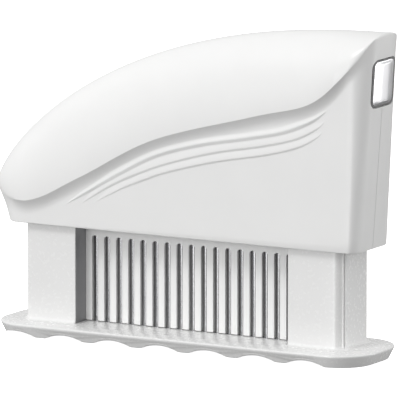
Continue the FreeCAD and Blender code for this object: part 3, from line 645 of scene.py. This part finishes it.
def crest(x):
    """Height of the grip's back."""
    reach = max(0.0, HEEL - x) / (HEEL - NOSE + NOSE_BLUNT)
    fullness = max(0.0, 1 - reach ** CROWN_BEND) ** CROWN_POWER
    return NOSE_HEIGHT + (CROWN - NOSE_HEIGHT) * fullness


def bullet(distance, length):
    """Share of the full width at a distance from an end that is rounded over a length."""
    return math.sqrt(1 - (1 - min(max(distance, 0) / length, 1)) ** 2)


def corner(distance, radius):
    """How far a round corner draws the surface in at a distance from its end."""
    short = radius - min(max(distance, 0), radius)
    return radius - math.sqrt(radius ** 2 - short ** 2)


def ease(share):
    """A share from 0 to 1 that starts and stops gently."""
    share = min(max(share, 0.0), 1.0)
    return share * share * (3 - 2 * share)


# The dark foot line of each ridge, its rise, and how wide its fall and its slope are
RIDGES = (
    (0.00055, 0.0014, 0.0017, (
        (-0.0428, 0.0461), (-0.0334, 0.0514), (-0.0211, 0.0585), (-0.0077, 0.0652),
        (0.0087, 0.0701), (0.0272, 0.0738), (0.0407, 0.0769), (0.0508, 0.0811), (0.0566, 0.0853),
    )),
    (0.00040, 0.0010, 0.0034, (
        (-0.0366, 0.0470), (-0.0259, 0.0535), (-0.0149, 0.0587), (-0.0039, 0.0629),
        (0.0136, 0.0679), (0.0339, 0.0720), (0.0458, 0.0753), (0.0532, 0.0792), (0.0556, 0.0814),
    )),
    (0.00032, 0.0008, 0.0034, (
        (-0.0314, 0.0478), (-0.0211, 0.0532), (-0.0122, 0.0569), (-0.0039, 0.0600),
        (0.0136, 0.0648), (0.0339, 0.0689), (0.0458, 0.0723), (0.0525, 0.0758), (0.0547, 0.0778),
    )),
)
LEFT_TAPER = 0.018
RIGHT_TAPER = 0.010
SLOPE_STEP = 0.0004
ROW_BAND = 0.0010
FIRST_ROW_BAND = 0.0012
BAND_SHARE = 0.4
SLOPE_ROWS = 0.0034
ROW_ROOM = 0.002
ridge_lines = [(rise, fall, slope, trace(points)) for rise, fall, slope, points in RIDGES]
fold_line = trace(FOLD)


def foot_line(line, x):
    """Height of a ridge's foot line, which goes on in step with the fold past its ends."""
    inside = min(max(x, line[0][0]), line[0][-1])
    return height_on(line, inside) + height_on(fold_line, x) - height_on(fold_line, inside)


def ridges(x, z):
    """How far the ridges stand out of the wall at a place on it."""
    proud = 0.0
    for rise, fall, slope, line in ridge_lines:
        left, right = line[0][0], line[0][-1]
        if not left < x < right:
            continue
        taper = math.sqrt(min((x - left) / LEFT_TAPER, (right - x) / RIGHT_TAPER, 1.0))
        climb = height_on(line, x + SLOPE_STEP) - height_on(line, x - SLOPE_STEP)
        lean = climb / (2 * SLOPE_STEP)
        over = (z - height_on(line, x)) / math.sqrt(1 + lean ** 2)
        fall, slope = fall * taper, slope * taper
        if over > fall / 2:
            proud += rise * taper * (1 - ease((over - fall / 2) / slope))
        elif over > -fall / 2:
            proud += rise * taper * ease((over + fall / 2) / fall)
    return proud


WALL_ROWS = (16, 12, 6, 12, 6, 14, 10, 14)
TIP_WALL = 1.6
CREST_STEP = 0.0005
FOLD_ROOM = 0.001
FOLD_TRIES = 6
LIP_SHARE = 0.3


def wall_heights(x, low, high):
    """Heights of the rows up the wall, close together where the ridges run."""
    first, second, third = (foot_line(line, x) for rise, fall, slope, line in ridge_lines)
    knots = [low]
    for middle, reach in (
        (third, min(ROW_BAND, BAND_SHARE * (second - third))),
        (second, min(ROW_BAND, BAND_SHARE * (second - third))),
        (first, min(FIRST_ROW_BAND, BAND_SHARE * (first - second))),
    ):
        knots += [middle - reach, middle + reach]
    knots += [first + SLOPE_ROWS, high]
    room = high - low
    for place in range(1, len(knots) - 1):
        knots[place] = max(knots[place], knots[place - 1] + room * ROW_ROOM)
    for place in range(len(knots) - 2, 0, -1):
        knots[place] = min(knots[place], knots[place + 1] - room * ROW_ROOM)
    heights = [low]
    for start, stop, rows in zip(knots, knots[1:], WALL_ROWS):
        heights += [start + (stop - start) * row / rows for row in range(1, rows + 1)]
    return heights


def section(crest_x, wall, end_wall, rows):
    """Half of one section across the grip: places from the foot's middle up to the crest."""
    foot = LIP - 2 * wall
    tip_x = NOSE - NOSE_BLUNT + TIP_WALL * wall
    top_right = HEEL - end_wall
    foot_left, foot_right = NOSE_FOOT + wall, HEEL_FOOT - end_wall
    half, radius = GRIP_HALF - wall, FOOT_CORNER - wall
    from_nose, from_heel = crest_x - tip_x, top_right - crest_x
    foot_x = crest_x
    if from_nose < NOSE_RUN:
        foot_x = foot_left + from_nose * (NOSE_RUN - foot_left + tip_x) / NOSE_RUN
    if from_heel < HEEL_RUN:
        foot_x = foot_right - from_heel * (HEEL_RUN + foot_right - top_right) / HEEL_RUN
    climb = crest(crest_x + CREST_STEP) - crest(crest_x - CREST_STEP)
    steep = climb / (2 * CREST_STEP)
    crest_z = crest(crest_x) - wall * math.sqrt(1 + steep ** 2)
    end_drop = 0.0 if wall else corner(from_heel, END_ROUND)
    fold_x = crest_x
    for settling in range(FOLD_TRIES):
        fold_z = min(height_on(fold_line, fold_x) + wall / 2, crest_z - FOLD_ROOM)
        fold_x = foot_x + (crest_x - foot_x) * (fold_z - foot) / (crest_z - foot)
    under_z = fold_z - COVE
    end_at_fold = foot_left - (NOSE_FOOT - NOSE) / (NOSE_HEIGHT - LIP) * (fold_z - LIP)
    heel_in = corner(from_heel, CROWN_CORNER - wall)
    overhang = OVERHANG * min(from_heel / HEEL_RUN, 1)
    fold_half = (half + overhang) * bullet(fold_x - end_at_fold, NOSE_ROUND) - heel_in
    under_share = bullet(fold_x - end_at_fold, (NOSE_ROUND + radius) / 2)
    under_half = min(half * under_share - heel_in, fold_half)
    foot_half = half - corner(foot_x - foot_left, radius) - corner(from_heel, radius)
    crest_top = crest_z - end_drop

    wall_rows, swell_rows = rows
    profile = [(0.0, foot)]
    if wall:
        heights = [foot + (fold_z - foot) * row / wall_rows for row in range(wall_rows + 1)]
    else:
        profile.append((foot_half - LIP_ROUND, foot))
        profile.append((foot_half - LIP_ROUND * LIP_SHARE, foot + LIP_ROUND * LIP_SHARE))
        heights = wall_heights(foot_x + (crest_x - foot_x) / 2, foot + LIP_ROUND, fold_z)
    for z in heights:
        if z <= under_z:
            y = foot_half + (under_half - foot_half) * (z - foot) / (under_z - foot)
        else:
            share = (z - under_z) / (fold_z - under_z)
            y = under_half + (fold_half - under_half) * share ** 2
        profile.append((y, z))
    rise = crest_top - fold_z
    for row in range(1, swell_rows + 1):
        t = row / swell_rows
        y = fold_half * ((1 - t) ** 3 + 3 * t * (1 - t) ** 2 + 3 * ROUNDING * t ** 2 * (1 - t))
        z = fold_z + rise * (
            3 * ROUNDING * t * (1 - t) ** 2 + 3 * t ** 2 * (1 - t) + t ** 3
        )
        profile.append((y, z))
    places = []
    for y, z in profile:
        x = foot_x + (crest_x - foot_x) * (z - foot) / (crest_z - foot)
        proud = 0.0
        if not wall and foot + LIP_ROUND < z < fold_z:
            proud = ridges(x, z)
        places.append((x + row_middle, y + proud, z))
    return places


NOSE_CROWDING = 1.7
HEEL_CROWDING = 1.8


def stations(tip, end, nose_steps, middle_steps, heel_steps):
    """Places along the grip, close together at its ends."""
    nose = [
        tip + NOSE_BLUNT + (NOSE_RUN - NOSE_BLUNT) * (step / nose_steps) ** NOSE_CROWDING
        for step in range(nose_steps)
    ]
    run = end - HEEL_RUN - tip - NOSE_RUN
    middle = [tip + NOSE_RUN + run * step / middle_steps for step in range(middle_steps)]
    heel = [
        end - HEEL_RUN * (1 - step / heel_steps) ** HEEL_CROWDING
        for step in range(heel_steps + 1)
    ]
    return nose + middle + heel


CAVITY_ROWS = (14, 12)
CAVITY_STATIONS = (14, 30, 8)


def cavity():
    """The grip's hollow; the ribs and bosses that stand in it are cut out of it afterwards."""
    tip, end = NOSE - NOSE_BLUNT + TIP_WALL * SHELL_WALL, HEEL - HEEL_WALL
    halves = [
        section(x, SHELL_WALL, HEEL_WALL, CAVITY_ROWS)
        for x in stations(tip, end, *CAVITY_STATIONS)
    ]
    rings = [
        [(x, -y, z) for x, y, z in half] + [(x, y, z) for x, y, z in half[-2:0:-1]]
        for half in halves
    ]
    return loft("grip_hollow", rings)


carrier_low, carrier_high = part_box("carrier_front")
RIB_HALF = 0.0012
RIB_SPREAD = 0.004
RIB_LAP = 0.002
RIB_STEP = 0.024
SEAT_RIB_RISE = 0.006
BOSS_RADIUS = 0.0042
HEAD_ROOM = 0.0030
HEAD_SEAT = 0.0074
screw_places = ((-0.030, 0.079), (0.0, 0.090), (0.032, 0.098), (0.060, 0.080))
OUT = 0.03
hollow = cavity()
for hand in (-1, 1):
    for step in (-1, 0, 1):
        x = row_middle + step * RIB_STEP
        for near, low_z, high_z in (
            (-carrier_low.y, carrier_low.z - RIB_SPREAD, carrier_high.z + RIB_SPREAD),
            (-carrier_low.y - RIB_LAP, carrier_low.z - RIB_SPREAD, carrier_low.z),
            (-carrier_low.y - RIB_LAP, carrier_high.z, carrier_high.z + RIB_SPREAD),
        ):
            sides = sorted((hand * near, hand * OUT))
            carve(hollow, block((x - RIB_HALF, sides[0], low_z), (x + RIB_HALF, sides[1], high_z)))
    for side in ("left", "right"):
        low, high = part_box(f"{side}_spring_seat")
        x = (low.x + high.x) / 2
        for near, low_z, high_z in (
            (high.y, low.z - RIB_LAP, high.z + SEAT_RIB_RISE),
            (high.y - RIB_LAP, low.z - RIB_LAP, low.z),
            (high.y - RIB_LAP, high.z, high.z + SEAT_RIB_RISE),
        ):
            sides = sorted((hand * near, hand * OUT))
            carve(hollow, block((x - RIB_HALF, sides[0], low_z), (x + RIB_HALF, sides[1], high_z)))
for x, z in screw_places:
    x += row_middle
    carve(hollow, rod((x, -OUT, z), (x, OUT, z), BOSS_RADIUS))

# The recess in the heel's end face holds the badge, and a fine groove below it marks the joint of
# the two shells, which are moulded in the same satin white.
BADGE_SINK = 0.0014
BADGE_GAP = 0.0003
BADGE_WIDTH = 0.0152
BADGE_HEIGHT = 0.0158
BADGE_CORNER = 0.0025
BADGE_LEVEL = 0.0945
EDGE_LEAST = 0.0001
RECESS_STEPS = 6
HEEL_LEAN = math.atan((HEEL - HEEL_FOOT) / (CROWN - LIP))
badge_face = HEEL_FOOT + row_middle + math.tan(HEEL_LEAN) * (BADGE_LEVEL - LIP)


def badge_blank(deep, out, gap, corner_steps):
    """A rounded square plate about the badge's middle, leaning with the heel's end face."""
    plate = block(
        (badge_face - deep, -BADGE_WIDTH / 2 - gap, BADGE_LEVEL - BADGE_HEIGHT / 2 - gap),
        (badge_face + out, BADGE_WIDTH / 2 + gap, BADGE_LEVEL + BADGE_HEIGHT / 2 + gap),
    )
    bpy.ops.object.mode_set(mode="EDIT")
    bpy.ops.mesh.select_mode(type="EDGE")
    bpy.ops.mesh.select_all(action="DESELECT")
    bpy.ops.object.mode_set(mode="OBJECT")
    for edge in plate.data.edges:
        ends = [plate.data.vertices[index].co for index in edge.vertices]
        edge.select = abs(ends[0].x - ends[1].x) > EDGE_LEAST
    bpy.ops.object.mode_set(mode="EDIT")
    bpy.ops.mesh.bevel(offset=BADGE_CORNER + gap, segments=corner_steps, profile=0.5)
    bpy.ops.object.mode_set(mode="OBJECT")
    return plate


def lean_with_heel(item):
    """Turns a badge piece with the end face, about the middle of the badge."""
    for vertex in item.data.vertices:
        out = vertex.co.x - badge_face
        over = vertex.co.z - BADGE_LEVEL
        vertex.co.x = badge_face + out * math.cos(HEEL_LEAN) + over * math.sin(HEEL_LEAN)
        vertex.co.z = BADGE_LEVEL + over * math.cos(HEEL_LEAN) - out * math.sin(HEEL_LEAN)


handle_plastic = finish(
    "handle_plastic", (0.80, 0.80, 0.795), (0.84, 0.84, 0.835), (0.30, 0.42), 900, 0.08, coat=0.15,
)
JOINT_HALF = 0.00006
JOINT_DEEP = 0.00025
SHELL_STATIONS = (56, 260, 34)
SWELL_ROWS = 36
SHELL_SMOOTH = math.radians(32)
outer_stations = stations(NOSE - NOSE_BLUNT, HEEL, *SHELL_STATIONS)
outer_halves = [section(x, 0.0, 0.0, (0, SWELL_ROWS)) for x in outer_stations]
for word, hand in (("front", -1), ("rear", 1)):
    rings = [[(x, hand * y, z) for x, y, z in half] for half in outer_halves]
    shell = loft(f"grip_{word}_shell", rings)
    cutter = hollow.copy()
    cutter.data = hollow.data.copy()
    bpy.context.scene.collection.objects.link(cutter)
    carve(shell, cutter)
    recess = badge_blank(BADGE_SINK, 3 * BADGE_SINK, BADGE_GAP, RECESS_STEPS)
    lean_with_heel(recess)
    carve(shell, recess)
    for x, z in screw_places:
        if hand > 0:
            x += row_middle
            carve(shell, rod((x, HEAD_SEAT, z), (x, OUT, z), HEAD_ROOM))
    groove = block(
        (badge_face - JOINT_DEEP, min(0, hand * JOINT_HALF), LIP - BADGE_SINK),
        (badge_face + BADGE_SINK, max(0, hand * JOINT_HALF), BADGE_LEVEL),
    )
    lean_with_heel(groove)
    carve(shell, groove)
    bpy.ops.object.shade_smooth_by_angle(angle=SHELL_SMOOTH)
    shell.data.materials.append(handle_plastic)
    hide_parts(f"handle_{word}_shell")
    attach(shell, "handle")
bpy.data.objects.remove(hollow)

# Badge: a blank satin chrome pillow pressed into the recess, over a dark sheet that is painted
# shade for the deep gap round it.
# The pillow is full from front to rear and nearly straight up and down.
badge_chrome = finish(
    "badge_chrome", (0.66, 0.66, 0.67), (0.72, 0.72, 0.73), (0.36, 0.42), 1400, 0.06, metal=1.0,
)
badge_shade = finish(
    "badge_shade", (0.10, 0.10, 0.10), (0.16, 0.16, 0.16), (0.35, 0.5), 1400, 0.2, metal=1.0,
)
SHADE_SHEET_REACH = 0.0012
RIM = 0.0006
PLAQUE_WIDE = 0.93
PILLOW_FLOOR = -0.0001
PILLOW_RISE = 0.0006
PILLOW_RUN = 0.8
PILLOW_TALL = 0.985
PILLOW_STEPS = 10
PILLOW_CROWDING = 1.5
SHADE_SHEET_LIFT = 0.0001
BADGE_STEPS = 8
BADGE_SMOOTH = math.radians(40)
FACING = 0.9
# The first entry is the dark sheet under the plaque: painted shade for the recess's deep gap.
for name, inset, low, high, paint in (
    ("badge_painted_shade_sheet", 0, BADGE_SINK - SHADE_SHEET_LIFT, SHADE_SHEET_REACH - BADGE_SINK, badge_shade),
    ("badge_plaque", RIM, BADGE_SINK - SHADE_SHEET_REACH, PILLOW_FLOOR, badge_chrome),
):
    badge = badge_blank(low, high, -inset, BADGE_STEPS)
    badge.name = name
    if inset:
        pillow_middle = (badge_face, 0, BADGE_LEVEL)
        bpy.ops.object.mode_set(mode="EDIT")
        bpy.ops.mesh.select_all(action="SELECT")
        bpy.ops.transform.resize(value=(1, PLAQUE_WIDE, 1), center_override=pillow_middle)
        bpy.ops.mesh.select_mode(type="FACE")
        bpy.ops.mesh.select_all(action="DESELECT")
        bpy.ops.object.mode_set(mode="OBJECT")
        for face in badge.data.polygons:
            face.select = face.normal.x > FACING
        bpy.ops.object.mode_set(mode="EDIT")
        size_before, rise_before = 1.0, 0.0
        for step in range(1, PILLOW_STEPS + 1):
            size_now = 1 - PILLOW_RUN * (step / PILLOW_STEPS) ** PILLOW_CROWDING
            rise_now = PILLOW_RISE * math.sin((1 - size_now) / PILLOW_RUN * math.pi / 2)
            shrink = size_now / size_before
            bpy.ops.mesh.inset(thickness=0)
            bpy.ops.transform.resize(
                value=(1, shrink, PILLOW_TALL), center_override=pillow_middle,
            )
            bpy.ops.transform.translate(value=(rise_now - rise_before, 0, 0))
            size_before, rise_before = size_now, rise_now
        bpy.ops.object.mode_set(mode="OBJECT")
    lean_with_heel(badge)
    bpy.ops.object.shade_smooth_by_angle(angle=BADGE_SMOOTH)
    badge.data.materials.append(paint)
    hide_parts("end_badge")
    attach(badge, "handle")
